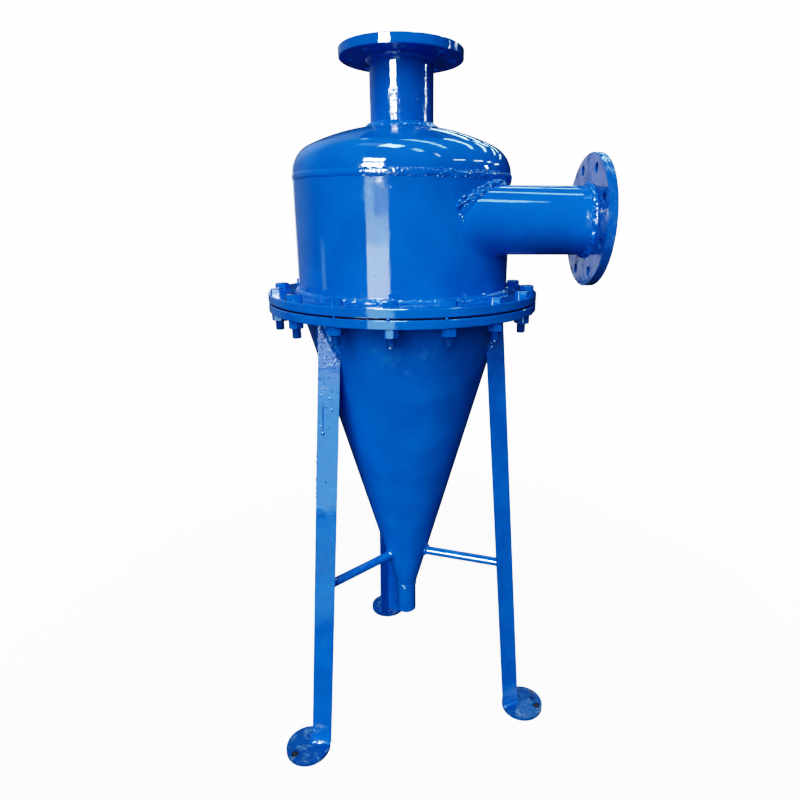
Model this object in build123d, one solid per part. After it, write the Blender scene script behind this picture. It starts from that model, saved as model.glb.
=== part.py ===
from build123d import *

import os
from math import asin, cos, radians, sin, sqrt, tan

# Hydrocyclone that spins grit out of water, welded from plate, pipe and angle steel.
# Millimetres. Floor at Z = 0, Z up the cyclone's own axis, X along the inlet pipe, outwards.

# Pipework: outlet on top, inlet on the side, both the same bore
pipe_od = 114.3
pipe_wall = 4.5
port_flange_od = 220.0
port_flange_thk = 16.0
port_bolt_edge = 20.0
port_bolt_hole_d = 18.0
port_bolt_count = 8
port_setback = 5.0
port_weld = 6.0
outlet_bolt_phase = 0.0
inlet_bolt_phase = 22.5

# Barrel, its dished head and the inlet on it
barrel_od = 400.0
barrel_wall = 6.0
barrel_height = 218.5
head_wall = 6.0
head_crown_share = 1.0
head_knuckle_share = 0.13
head_skirt = 6.0
seam_width = 12.0
seam_cap = 2.4
outlet_rise = 212.0
outlet_weld = 7.0
inlet_inset = 79.7
inlet_length = 130.0
inlet_weld = 8.0
bead_gap = 0.25
finder_drop = 36.0

# Body flanges, gasket and bolts
gasket_middle_z = 931.5
gasket_thk = 3.0
gasket_inset = 2.0
body_flange_width = 57.5
body_flange_thk = 15.0
body_bolt_edge = 16.5
body_bolt_hole_d = 18.0
body_bolt_count = 16
body_bolt_phase = 16.5
body_setback = 4.0
body_weld = 8.0
bolt_d = 16.0
bolt_length = 65.0
hex_across_flats = 24.0
hex_corner_cut = 1.8
bolt_head_height = 10.0
nut_height = 14.8

# Cone and underflow pipe
cone_height = 654.0
cone_wall = 5.0
cone_setback = 9.0
underflow_length = 68.5
underflow_od = 42.4
underflow_wall = 3.6
underflow_bead_width = 9.0
underflow_bead_cap = 2.2
underflow_land = 1.0

# Legs of equal angle, their foot plates and braces
leg_names = ("right", "rear", "front_left")
leg_phase = -20.0
angle_width = 40.0
angle_thk = 4.0
angle_root_radius = 5.0
angle_toe_radius = 2.2
leg_top_inset = 1.0
leg_splay = 72.0
leg_top_gap = 1.0
leg_weld = 6.0
foot_plate_od = 92.0
foot_plate_thk = 8.0
foot_plate_shift = 10.0
anchor_hole_d = 14.0
anchor_shift = 33.0
foot_weld = 6.0
brace_rise = 92.0
brace_d = 18.0
brace_weld = 5.0

# Fits and finish
bore_fit = 0.5
nut_fit = 0.15
rim_cut = 1.2
overrun = 30.0

# Distances from the axis, worked out from the sizes above
pipe_r = pipe_od / 2
port_bolt_circle_d = port_flange_od - 2 * port_bolt_edge
barrel_r = barrel_od / 2
head_crown = barrel_od * head_crown_share
head_knuckle = barrel_od * head_knuckle_share
inlet_offset = barrel_r - inlet_inset
inlet_reach = barrel_r + inlet_length
body_flange_od = barrel_od + 2 * body_flange_width
body_bolt_circle_d = body_flange_od - 2 * body_bolt_edge
underflow_r = underflow_od / 2
leg_top_radius = barrel_r - leg_top_inset
leg_foot_radius = leg_top_radius + leg_splay
foot_plate_radius = leg_foot_radius + foot_plate_shift

# Heights above the floor, from the top down
head_seam_z = gasket_middle_z + barrel_height
outlet_face_z = head_seam_z + outlet_rise
outlet_pipe_top_z = outlet_face_z - port_setback
tangent_z = head_seam_z + head_skirt
inlet_z = head_seam_z - seam_width / 2 - bead_gap - inlet_weld - pipe_r
finder_end_z = inlet_z - pipe_r - finder_drop
upper_face_z = gasket_middle_z + gasket_thk / 2
upper_back_z = upper_face_z + body_flange_thk
lower_face_z = gasket_middle_z - gasket_thk / 2
lower_back_z = lower_face_z - body_flange_thk
cone_top_z = lower_face_z - cone_setback
leg_top_z = lower_back_z - body_weld - leg_top_gap
cone_tip_z = gasket_middle_z - cone_height
brace_z = cone_tip_z + brace_rise
underflow_end_z = cone_tip_z - underflow_length

# Slopes and axes
cone_slope = (barrel_r - underflow_r) / (cone_top_z - cone_tip_z)
leg_slope = (leg_foot_radius - leg_top_radius) / (leg_top_z - foot_plate_thk)
inlet_axis = Plane(origin=(0, -inlet_offset, inlet_z), x_dir=(0, 1, 0), z_dir=(1, 0, 0))


def cone_radius(z):
    """Outside radius of the cone at a height."""
    return underflow_r + (z - cone_tip_z) * cone_slope


def heel_radius(z):
    """Distance of a leg's heel from the axis at a height."""
    return leg_foot_radius - (z - foot_plate_thk) * leg_slope


def cylinder(radius, low_z, high_z):
    """Solid cylinder on the Z axis."""
    return Pos(0, 0, low_z) * extrude(Circle(radius), high_z - low_z)


def tube(outer_r, inner_r, low_z, high_z):
    """Straight tube or washer on the Z axis."""
    return Pos(0, 0, low_z) * extrude(Circle(outer_r) - Circle(inner_r), high_z - low_z)


def turned(*points):
    """Solid of revolution about Z from a closed outline of (radius, z) points."""
    outline = make_face(Plane.XZ * Polyline(*points, close=True))
    return revolve(outline, Axis.Z)


def bolt_holes(circle_d, hole_d, count, phase, low_z, high_z):
    """Ring of drilled holes about the Z axis."""
    hole = cylinder(hole_d / 2, low_z, high_z)
    step = 360 / count
    return [Rot(0, 0, phase + n * step) * Pos(circle_d / 2, 0, 0) * hole for n in range(count)]


def flange(outer_d, bore_r, low_z, thickness):
    """Flat turned ring with its rim edges broken."""
    outer_r = outer_d / 2
    high_z = low_z + thickness
    return turned(
        (bore_r, low_z),
        (outer_r - rim_cut, low_z),
        (outer_r, low_z + rim_cut),
        (outer_r, high_z - rim_cut),
        (outer_r - rim_cut, high_z),
        (bore_r, high_z),
    )


def fillet_ring(wall_r, plate_z, size, side):
    """Weld in the corner outside a tube and against a plate; side is 1 above it, -1 below."""
    return turned(
        (wall_r, plate_z),
        (wall_r + size, plate_z),
        (wall_r, plate_z + side * size),
    )


def setback_ring(bore_r, end_z, size, side):
    """Weld inside a flange's bore, on the end of the tube set back in it."""
    return turned(
        (bore_r, end_z),
        (bore_r - size, end_z),
        (bore_r, end_z + side * size),
    )


def cap_ring(wall_r, seam_z, width, cap):
    """Low rounded bead over a seam between two tubes."""
    low = (wall_r, seam_z - width / 2)
    crest = (wall_r + cap, seam_z)
    high = (wall_r, seam_z + width / 2)
    bead = Plane.XZ * (ThreePointArc(low, crest, high) + Line(high, low))
    return revolve(make_face(bead), Axis.Z)


def dished_solid(radius, crown, knuckle, base_z):
    """Filled torispherical form: straight skirt, knuckle arc and crown arc."""
    knuckle_r = radius - knuckle
    half_angle = asin(knuckle_r / (crown - knuckle))
    crown_z = tangent_z - (crown - knuckle) * cos(half_angle)
    joint = (crown * sin(half_angle), crown_z + crown * cos(half_angle))
    mid_angle = (half_angle + radians(90)) / 2
    mid = (knuckle_r + knuckle * sin(mid_angle), tangent_z + knuckle * cos(mid_angle))
    top_mid = (crown * sin(half_angle / 2), crown_z + crown * cos(half_angle / 2))
    top = (0, crown_z + crown)
    outline = Polyline(top, (0, base_z), (radius, base_z), (radius, tangent_z))
    outline += ThreePointArc((radius, tangent_z), mid, joint)
    outline += ThreePointArc(joint, top_mid, top)
    return revolve(make_face(Plane.XZ * outline), Axis.Z)


def crown_height(radius):
    """Height of the head's outside at a distance from the axis, on its crown."""
    knuckle_r = barrel_r - head_knuckle
    crown_z = tangent_z - sqrt((head_crown - head_knuckle) ** 2 - knuckle_r**2)
    return crown_z + sqrt(head_crown**2 - radius**2)


def port_flange(phase):
    """Slip-on pipe flange, face at Z = 0 and back towards -Z."""
    body = flange(port_flange_od, pipe_r + bore_fit, -port_flange_thk, port_flange_thk)
    low_z = -port_flange_thk - overrun
    return body - bolt_holes(
        port_bolt_circle_d, port_bolt_hole_d, port_bolt_count, phase, low_z, overrun
    )


def port_flange_welds():
    """Back fillet and setback weld of a slip-on flange whose face is at Z = 0."""
    back = fillet_ring(pipe_r, -port_flange_thk, port_weld, -1)
    front = setback_ring(pipe_r + bore_fit, -port_setback, pipe_wall, 1)
    return back + front


def outlet_pipe():
    """Overflow pipe, from the outlet flange down to its open end inside the barrel."""
    return tube(pipe_r, pipe_r - pipe_wall, finder_end_z, outlet_pipe_top_z)


def outlet_pipe_weld():
    """Fillet round the outlet pipe, lying on the curve of the head."""
    seat_z = crown_height(pipe_r)
    toe_r = pipe_r + outlet_weld
    root_z = crown_height(toe_r) - head_wall
    ring = turned(
        (pipe_r, root_z),
        (toe_r, root_z),
        (toe_r, crown_height(toe_r)),
        (pipe_r, seat_z + outlet_weld),
    )
    return ring - dished_solid(barrel_r, head_crown, head_knuckle, head_seam_z)


def dished_head():
    """Torispherical head with the hole for the outlet pipe."""
    outside = dished_solid(barrel_r, head_crown, head_knuckle, head_seam_z)
    inside_r = barrel_r - head_wall
    inside = dished_solid(inside_r, head_crown - head_wall, head_knuckle - head_wall, head_seam_z)
    return outside - inside - cylinder(pipe_r, head_seam_z, outlet_face_z)


def inlet_cylinder(radius):
    """Solid on the inlet's axis, from the middle of the barrel to the flange's face."""
    return inlet_axis * extrude(Circle(radius), inlet_reach)


def barrel():
    """Rolled barrel with the side opening that takes the inlet pipe off centre."""
    low_z = upper_face_z + body_setback
    shell = tube(barrel_r, barrel_r - barrel_wall, low_z, head_seam_z)
    return shell - inlet_cylinder(pipe_r)


def inlet_pipe():
    """Inlet pipe, its end cut to the curve of the barrel's inside."""
    length = inlet_reach - port_setback
    pipe = inlet_axis * extrude(Circle(pipe_r) - Circle(pipe_r - pipe_wall), length)
    return pipe - cylinder(barrel_r - barrel_wall, inlet_z - pipe_od, inlet_z + pipe_od)


def inlet_pipe_weld():
    """Bead that follows the line where the inlet pipe leaves the barrel."""
    low_z = inlet_z - pipe_od
    high_z = inlet_z + pipe_od
    half = inlet_weld / 2
    wide_low = inlet_cylinder(pipe_r + inlet_weld) & cylinder(barrel_r + half, low_z, high_z)
    narrow_high = inlet_cylinder(pipe_r + half) & cylinder(barrel_r + inlet_weld, low_z, high_z)
    bead = wide_low + narrow_high
    return bead - cylinder(barrel_r, low_z, high_z) - inlet_cylinder(pipe_r)


def body_flange(low_z, phase):
    """One of the two large bolted rings."""
    ring = flange(body_flange_od, barrel_r + bore_fit, low_z, body_flange_thk)
    return ring - bolt_holes(
        body_bolt_circle_d,
        body_bolt_hole_d,
        body_bolt_count,
        phase,
        low_z - overrun,
        low_z + body_flange_thk + overrun,
    )


def upper_flange_weld():
    """Fillet on the flange's back, and the weld on the barrel's set-back end."""
    back = fillet_ring(barrel_r, upper_back_z, body_weld, 1)
    end_z = upper_face_z + body_setback
    return back + setback_ring(barrel_r + bore_fit, end_z, body_setback, -1)


def body_gasket():
    """Full-face rubber gasket, its rim just inside the flanges' rims."""
    ring = tube(body_flange_od / 2 - gasket_inset, barrel_r - barrel_wall, lower_face_z, upper_face_z)
    low_z = lower_face_z - overrun
    high_z = upper_face_z + overrun
    return ring - bolt_holes(
        body_bolt_circle_d, body_bolt_hole_d, body_bolt_count, body_bolt_phase, low_z, high_z
    )


def cone_solid(grow, low_z, high_z):
    """Filled cone on the cone's outside, grown outwards by a radius."""
    return turned(
        (0, low_z),
        (cone_radius(low_z) + grow, low_z),
        (cone_radius(high_z) + grow, high_z),
        (0, high_z),
    )


def cone():
    """Rolled cone, open at both ends."""
    inner_wall = cone_wall * sqrt(1 + cone_slope**2)
    return turned(
        (cone_radius(cone_tip_z), cone_tip_z),
        (cone_radius(cone_top_z), cone_top_z),
        (cone_radius(cone_top_z) - inner_wall, cone_top_z),
        (cone_radius(cone_tip_z) - inner_wall, cone_tip_z),
    )


def lower_flange_weld():
    """Fillet under the lower flange, and the weld on the cone's set-back end."""
    root_r = cone_radius(lower_back_z - body_weld) - cone_wall
    ring = turned(
        (root_r, lower_back_z),
        (cone_radius(lower_back_z) + body_weld, lower_back_z),
        (cone_radius(lower_back_z - body_weld), lower_back_z - body_weld),
        (root_r, lower_back_z - body_weld),
    )
    under = ring - cone_solid(0, cone_tip_z, cone_top_z)
    return under + setback_ring(barrel_r + bore_fit, cone_top_z, cone_wall, 1)


def underflow_pipe():
    """Short pipe under the cone, where the grit leaves, its upper end bevelled for the weld."""
    inner_r = underflow_r - underflow_wall
    return turned(
        (inner_r, underflow_end_z),
        (underflow_r, underflow_end_z),
        (underflow_r, cone_tip_z - underflow_bead_width / 2),
        (inner_r + underflow_land, cone_tip_z),
        (inner_r, cone_tip_z),
    )


def underflow_weld():
    """Weld that fills the pipe's bevel and caps the joint with the cone."""
    low = (underflow_r, cone_tip_z - underflow_bead_width / 2)
    crest = (underflow_r + underflow_bead_cap, cone_tip_z)
    high_z = cone_tip_z + underflow_bead_width / 2
    high = (cone_radius(high_z), high_z)
    seam = (underflow_r, cone_tip_z)
    root = (underflow_r - underflow_wall + underflow_land, cone_tip_z)
    bead = Plane.XZ * (ThreePointArc(low, crest, high) + Polyline(high, seam, root, low))
    return revolve(make_face(bead), Axis.Z)


def hexagon(height):
    """Hexagon prism on Z, its far corners turned off as on a bolt head or nut."""
    corner_r = hex_across_flats / 2 / cos(radians(30))
    prism = extrude(RegularPolygon(corner_r, 6), height)
    rim_z = height - hex_corner_cut * tan(radians(30))
    cover = turned(
        (0, 0),
        (corner_r, 0),
        (corner_r, rim_z),
        (corner_r - hex_corner_cut, height),
        (0, height),
    )
    return prism & cover


def bolt_places():
    """Places of the body bolts round the axis."""
    step = 360 / body_bolt_count
    radius = body_bolt_circle_d / 2
    return [Rot(0, 0, body_bolt_phase + n * step) * Pos(radius, 0, 0) for n in range(body_bolt_count)]


def body_bolts():
    """All the body bolts, heads up."""
    head = Pos(0, 0, upper_back_z) * hexagon(bolt_head_height)
    bolt = head + cylinder(bolt_d / 2, upper_back_z - bolt_length, upper_back_z)
    return Compound([place * bolt for place in bolt_places()])


def body_nuts():
    """All the nuts, tight under the lower flange."""
    down = Pos(0, 0, lower_back_z) * Rot(180, 0, 0)
    bore = cylinder(bolt_d / 2 + nut_fit, -overrun, nut_height + overrun)
    nut = down * (hexagon(nut_height) - bore)
    return Compound([place * nut for place in bolt_places()])


def leg_frame(azimuth):
    """Plane square to a leg at its foot, X and Y along the two flanges from the heel."""
    turn = radians(azimuth)
    out = Vector(cos(turn), sin(turn), 0)
    side = Vector(-sin(turn), cos(turn), 0)
    along = Vector(0, 0, 1) - out * leg_slope
    inward = out * -1 - Vector(0, 0, 1) * leg_slope
    heel = out * leg_foot_radius + Vector(0, 0, foot_plate_thk)
    return Plane(origin=heel, x_dir=inward.normalized() + side, z_dir=along.normalized())


def leg_prism(azimuth, outline):
    """An outline drawn from the heel, run along the leg past both of its ends."""
    length = leg_top_z + overrun
    return leg_frame(azimuth).offset(-overrun) * extrude(outline, length + overrun)


def corner_square(low, high):
    """Square from one distance to another along both flanges."""
    return Pos((low + high) / 2, (low + high) / 2) * Rectangle(high - low, high - low)


def angle_section():
    """Rolled equal angle: root filleted, toes rounded."""
    root = (angle_thk, angle_thk)
    square = Rectangle(angle_width, angle_width, align=Align.MIN)
    section = square - Pos(*root) * square
    inside = section.vertices().filter_by(lambda v: min(v.X, v.Y) > angle_thk / 2)
    toes = inside.sort_by_distance(root)[1:]
    section = fillet(toes, angle_toe_radius)
    return fillet(section.vertices().sort_by_distance(root)[0], angle_root_radius)


def angle_stock(azimuth):
    """The leg's angle steel before its ends are cut."""
    return leg_prism(azimuth, angle_section())


def leg(azimuth):
    """Leg of angle steel, cut level at the foot and scribed to the cone at the top."""
    level_cuts = cylinder(foot_plate_radius + foot_plate_od, foot_plate_thk, leg_top_z)
    stock = angle_stock(azimuth) & level_cuts
    return stock - cone_solid(0, cone_tip_z, cone_top_z)


def leg_cone_weld(azimuth):
    """Bead along the scribed line, on the outside of the angle."""
    around = leg_prism(azimuth, corner_square(-leg_weld, angle_width))
    covered = leg_prism(azimuth, corner_square(0, angle_width + leg_weld))
    low_z = brace_z + brace_d
    bead = (around - covered) & cone_solid(leg_weld, low_z, leg_top_z)
    return bead - cone_solid(0, cone_tip_z, cone_top_z)


def foot_place(azimuth):
    """Centre of a foot plate on the floor, X outwards."""
    return Rot(0, 0, azimuth) * Pos(foot_plate_radius, 0, 0)


def foot_plate(azimuth):
    """Round plate under a leg with one anchor hole on its outer side."""
    plate = cylinder(foot_plate_od / 2, 0, foot_plate_thk)
    hole = Pos(anchor_shift, 0, 0) * cylinder(anchor_hole_d / 2, -overrun, overrun)
    return foot_place(azimuth) * (plate - hole)


def foot_leg_weld(azimuth):
    """Sloping fillet on the plate along the two outer faces of the angle."""
    turn = Rot(0, 0, azimuth) * Pos(leg_foot_radius, 0, foot_plate_thk) * Rot(0, 0, 135)
    outer = Pos(angle_width / 2, angle_width / 2) * Rectangle(
        angle_width + 2 * foot_weld, angle_width + 2 * foot_weld
    )
    bank = turn * extrude(outer, foot_weld, taper=45)
    keep = turn * extrude(corner_square(-foot_weld, angle_width), foot_weld)
    plate = foot_place(azimuth) * cylinder(foot_plate_od / 2, foot_plate_thk, foot_plate_thk + foot_weld)
    covered = leg_prism(azimuth, corner_square(0, angle_width + foot_weld))
    return (bank & keep & plate) - covered


def brace_bar(azimuth, radius):
    """Round bar on a brace's axis, from the cyclone's axis to the leg's heel."""
    place = Rot(0, 0, azimuth) * Pos(0, 0, brace_z) * Rot(0, 90, 0)
    return place * extrude(Circle(radius), heel_radius(brace_z))


def brace(azimuth):
    """Level bar between the cone and the inside corner of the leg."""
    band = corner_square(-brace_d, angle_width) - corner_square(angle_thk, angle_width)
    bar = brace_bar(azimuth, brace_d / 2) - cone_solid(0, cone_tip_z, cone_top_z)
    return bar - leg_prism(azimuth, band) - angle_stock(azimuth)


def brace_welds(azimuth):
    """Rings of weld round both ends of a brace."""
    sleeve = brace_bar(azimuth, brace_d / 2 + brace_weld) - brace_bar(azimuth, brace_d / 2)
    low_z = brace_z - brace_d
    high_z = brace_z + brace_d
    at_cone = (sleeve & cone_solid(brace_weld, low_z, high_z)) - cone_solid(0, cone_tip_z, cone_top_z)
    near = angle_thk + brace_weld
    band = corner_square(angle_thk, angle_width) - corner_square(near, angle_width)
    at_leg = (sleeve & leg_prism(azimuth, band)) - angle_stock(azimuth)
    return at_cone + at_leg


def build():
    """Every sub-part by its node's name."""
    outlet_place = Pos(0, 0, outlet_face_z)
    inlet_place = inlet_axis.offset(inlet_reach).location
    parts = {
        "outlet_flange": outlet_place * port_flange(outlet_bolt_phase),
        "outlet_flange_weld": outlet_place * port_flange_welds(),
        "outlet_pipe": outlet_pipe(),
        "outlet_pipe_weld": outlet_pipe_weld(),
        "dished_head": dished_head(),
        "head_seam_weld": cap_ring(barrel_r, head_seam_z, seam_width, seam_cap),
        "barrel": barrel(),
        "inlet_pipe": inlet_pipe(),
        "inlet_pipe_weld": inlet_pipe_weld(),
        "inlet_flange": inlet_place * port_flange(inlet_bolt_phase),
        "inlet_flange_weld": inlet_place * port_flange_welds(),
        "upper_body_flange": body_flange(upper_face_z, body_bolt_phase),
        "upper_flange_weld": upper_flange_weld(),
        "body_gasket": body_gasket(),
        "lower_body_flange": body_flange(lower_back_z, body_bolt_phase),
        "lower_flange_weld": lower_flange_weld(),
        "cone": cone(),
        "underflow_pipe": underflow_pipe(),
        "underflow_weld": underflow_weld(),
        "body_bolts": body_bolts(),
        "body_nuts": body_nuts(),
    }
    for number, name in enumerate(leg_names):
        azimuth = leg_phase + number * 360 / len(leg_names)
        parts[f"leg_{name}"] = leg(azimuth)
        parts[f"leg_weld_{name}"] = leg_cone_weld(azimuth)
        parts[f"foot_plate_{name}"] = foot_plate(azimuth)
        parts[f"foot_weld_{name}"] = foot_leg_weld(azimuth)
        parts[f"brace_{name}"] = brace(azimuth)
        parts[f"brace_weld_{name}"] = brace_welds(azimuth)
    return parts


os.makedirs("parts", exist_ok=True)
for name, shape in build().items():
    export_step(shape, f"parts/{name}.step")
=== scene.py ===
"""Looks of a welded steel hydrocyclone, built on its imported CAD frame.

Laid out as an add-on and run as a script. Metres, Z up, X along the inlet pipe.
"""

import random
from math import atan2, ceil, cos, degrees, hypot, pi, radians, sin, sqrt, tan, tau

import bmesh
import bpy
from bpy.props import FloatProperty, FloatVectorProperty, IntProperty, PointerProperty
from mathutils import Matrix, Vector, noise


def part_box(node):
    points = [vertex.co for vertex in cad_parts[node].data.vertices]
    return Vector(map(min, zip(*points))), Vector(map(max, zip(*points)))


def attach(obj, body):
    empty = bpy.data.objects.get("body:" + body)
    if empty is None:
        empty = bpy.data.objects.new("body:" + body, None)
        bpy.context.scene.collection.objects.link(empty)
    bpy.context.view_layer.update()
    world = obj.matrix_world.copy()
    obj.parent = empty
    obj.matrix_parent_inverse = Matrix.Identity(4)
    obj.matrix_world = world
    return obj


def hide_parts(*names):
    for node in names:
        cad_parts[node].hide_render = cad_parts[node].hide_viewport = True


bl_info = {
    "name": "Hydrocyclone",
    "version": (1, 0, 0),
    "blender": (4, 5, 0),
    "location": "3D View > Sidebar > Hydrocyclone",
    "description": "Enamel, welds, bolts and paint flaws for a steel hydrocyclone",
    "category": "Object",
}

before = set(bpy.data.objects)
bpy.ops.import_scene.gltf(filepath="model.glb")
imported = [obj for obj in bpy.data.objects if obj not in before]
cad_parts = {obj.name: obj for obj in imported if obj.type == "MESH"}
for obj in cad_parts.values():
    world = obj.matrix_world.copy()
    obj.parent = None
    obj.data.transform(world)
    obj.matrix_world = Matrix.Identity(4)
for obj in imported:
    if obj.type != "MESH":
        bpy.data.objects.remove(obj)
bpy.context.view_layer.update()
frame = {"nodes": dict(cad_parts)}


def mm(length):
    """A length in millimetres as metres."""
    return length / 1000


# Sizes taken from the frame
BARREL_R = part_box("barrel")[1].y
PIPE_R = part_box("outlet_pipe")[1].y
UNDERFLOW_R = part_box("underflow_pipe")[1].x
SEAM_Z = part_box("dished_head")[0].z
OUTLET_BACK_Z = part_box("outlet_flange")[0].z
OUTLET_END_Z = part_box("outlet_pipe")[1].z
INLET_BACK_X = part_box("inlet_flange")[0].x
INLET_END_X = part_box("inlet_pipe")[1].x
INLET_Y = (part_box("inlet_flange")[0].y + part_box("inlet_flange")[1].y) / 2
INLET_Z = (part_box("inlet_flange")[0].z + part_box("inlet_flange")[1].z) / 2
UPPER_BACK_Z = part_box("upper_body_flange")[1].z
LOWER_BACK_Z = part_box("lower_body_flange")[0].z
BARREL_END_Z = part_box("barrel")[0].z
CONE_TOP_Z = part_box("cone")[1].z
CONE_TIP_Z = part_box("cone")[0].z
CONE_TOP_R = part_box("cone")[1].x
PLATE_TOP_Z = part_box("foot_plate_right")[1].z
BOLT_LOW_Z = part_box("body_bolts")[0].z
BOLT_HIGH_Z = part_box("body_bolts")[1].z
NUT_LOW_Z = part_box("body_nuts")[0].z

# Sizes that no box gives
BORE_FIT = mm(0.5)
PORT_WELD = mm(6)
SETBACK_WELD = mm(4.5)
OUTLET_WELD = mm(7)
INLET_WELD = mm(8)
BODY_WELD = mm(8)
SEAM_HALF_WIDTH = mm(6.6)
SEAM_CAP = mm(1.4)
CONE_BEAD_DEPTH = mm(0.5)
UPPER_SETBACK = mm(4)
LOWER_SETBACK = mm(5)
UNDERFLOW_HALF_WIDTH = mm(4.8)
UNDERFLOW_CAP = mm(1.6)
HEAD_CROWN = mm(400)
HEAD_KNUCKLE = mm(52)
HEAD_SKIRT = mm(6)
BOLT_CIRCLE_R = mm(241)
BOLT_COUNT = 16
BOLT_PHASE = radians(16.5)
BOLT_R = mm(8)
HEX_HALF = mm(12)
LEGS = {"right": -20.0, "rear": 100.0, "front_left": 220.0}
LEG_FOOT_R = mm(271)
LEG_SLOPE = 72 / 898
LEG_WIDTH = mm(40)
LEG_THICKNESS = mm(4)
LEG_TOP_Z = mm(906)
LEG_WELD = mm(6)
FOOT_WELD = mm(6)
BRACE_Z = mm(369.5)
BRACE_R = mm(9)
BRACE_WELD = mm(5)
ANCHOR_R = mm(7)
ANCHOR_SHIFT = mm(314)
CONE_SLOPE = (CONE_TOP_R - UNDERFLOW_R) / (CONE_TOP_Z - CONE_TIP_Z)
UP = Vector((0, 0, 1))

# Weld sections: points across, lengths and height of the noise, and depths under the steel
SECTION = 11
DRIFT_LENGTH = mm(28)
TOE_LENGTH = mm(9)
KNOT_LENGTH = mm(4.5)
GRAIN_LENGTH = mm(3.2)
GRAIN_HEIGHT = mm(0.7)
TOE_DEPTH = mm(0.35)
ROOT_DEPTH = mm(0.8)

# Sizes of the patterns in the paint
CLOUD_SIZE = mm(70)
DUST_AND_SHEEN_SIZE = mm(13)
GRIT_SIZE = mm(2.2)
STREAK_SIZE = mm(16)
PATCH_SIZE = mm(35)
NIB_SPACING = mm(16)

# Steps round the weld rings
PORT_STEPS = 300
BORE_STEPS = 240
CROWN_STEPS = 320
BODY_STEPS = 900
BRACE_STEPS = 48

# Parts of the inlet weld, degrees round the pipe from its far side and over its top: from where
# they begin to where they are full, and from where they fade to where they are gone
HEAVY_PART = (75, 100, 145, 165)
DRESSED_PART = (146, 176, 275, 300)
WIDE_PART = (168, 200, 265, 285)

# Numbers of drops on the head seam, the inlet weld, the round welds and each leg weld, and of
# chips, grains and blisters
SEAM_DROPS = 420
INLET_DROPS = 220
ROUND_DROPS = 110
LEG_DROPS = 36
CHIPS = 16
GRAINS = 120
BLISTERS = 90


class EnamelSettings(bpy.types.PropertyGroup):
    """Colours and gloss of the finishes."""

    paint_deep: FloatVectorProperty(
        name="Paint, thick", description="Enamel where it lies thick", subtype="COLOR",
        size=3, min=0, max=1, default=(0.0, 0.092, 0.45))
    paint_pale: FloatVectorProperty(
        name="Paint, thin", description="Enamel where it lies thin", subtype="COLOR",
        size=3, min=0, max=1, default=(0.0, 0.116, 0.545))
    roughness: FloatProperty(
        name="Roughness", description="Roughness of the cured enamel", default=0.03, min=0, max=1)
    peel: FloatProperty(
        name="Orange peel", description="Height of the spray's orange peel",
        default=mm(0.03), unit="LENGTH")
    wave: FloatProperty(
        name="Plate waves", description="Height of the slow waves of rolled plate",
        default=mm(0.4), unit="LENGTH")
    nib: FloatProperty(
        name="Dust nibs", description="Height of the dust nibs under the paint",
        default=mm(0.12), unit="LENGTH")


class WeldSettings(bpy.types.PropertyGroup):
    """Make of the weld beads."""

    pitch: FloatProperty(
        name="Ripple pitch", description="Distance between the crescents of a bead",
        default=mm(6), unit="LENGTH")
    ripple: FloatProperty(
        name="Ripple height", description="Height of the crescents",
        default=mm(0.7), unit="LENGTH")
    lump_length: FloatProperty(
        name="Lump length", description="Length of the slow lumps along a bead",
        default=mm(12), unit="LENGTH")
    lump: FloatProperty(
        name="Lump height", description="Height of the slow lumps",
        default=mm(1.6), unit="LENGTH")
    specks: IntProperty(
        name="Spatter", description="Number of spatter beads under the paint", default=140, min=0)


class FastenerSettings(bpy.types.PropertyGroup):
    """Bolts and nuts of the body flanges."""

    thread_pitch: FloatProperty(
        name="Thread pitch", description="Pitch of the M16 thread", default=mm(2), unit="LENGTH")
    thread_depth: FloatProperty(
        name="Thread depth", description="Depth of the thread under its paint",
        default=mm(0.7), unit="LENGTH")


class StageSettings(bpy.types.PropertyGroup):
    """Floor, light and camera."""

    floor: FloatVectorProperty(
        name="Floor", description="Colour of the plain floor", subtype="COLOR",
        size=3, min=0, max=1, default=(0.96, 0.96, 0.96))
    fill: FloatProperty(
        name="Fill", description="Strength of the soft light that fills the colours",
        default=1.0, min=0)
    key: FloatProperty(
        name="Key", description="Strength of the windows and roof lights in the gloss",
        default=1.0, min=0)


# Soft boxes that show in the gloss: degrees from the front towards the right, degrees up,
# degrees wide and high, brightness and colour
GLOSS_LIGHTS = {
    "window_low": (-30.5, 11.5, 20, 13, 140, "#E8F8FF"),
    "window_high": (-30.5, 28, 20, 9, 140, "#E8F8FF"),
    "doorway_low": (-26.5, -6, 23, 6, 12, "#ECF8FF"),
    "doorway_middle": (-26.5, -1.5, 23, 3, 8, "#E4F6FF"),
    "doorway_left": (-33.5, 2, 9, 4, 6.5, "#D8F4FF"),
    "doorway_right": (-22, 2, 14, 4, 3.6, "#D8F4FF"),
    "yard_far": (-19, -11, 22, 4, 6.5, "#B8F0FF"),
    "yard_middle": (-19, -19, 22, 12, 4.6, "#B0ECFF"),
    "yard_near": (-19, -31, 22, 10, 1.8, "#A0E8FF"),
    "side_strip": (-92, -5.8, 6, 6, 1.5, "#C4EDFF"),
    "strip_right": (94, 11, 3.4, 9, 60, "#E8F8FF"),
    "yard_behind": (-161, 2, 13, 18, 1.0, "#D8E4FF"),
    "sky_behind": (165, 45, 12, 12, 1.4, "#C4EDFF"),
    "lamp": (42, 45, 4, 11, 12, "#E8F8FF"),
    "clerestory_a": (62.5, 29.6, 15, 3.0, 22, "#E0F6FF"),
    "clerestory_b": (87, 25.8, 13, 2.8, 20, "#E0F6FF"),
    "clerestory_c": (103.5, 22.3, 6, 2.8, 18, "#E0F6FF"),
    "clerestory_d": (115, 17, 8, 2.4, 16, "#E0F6FF"),
}

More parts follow.
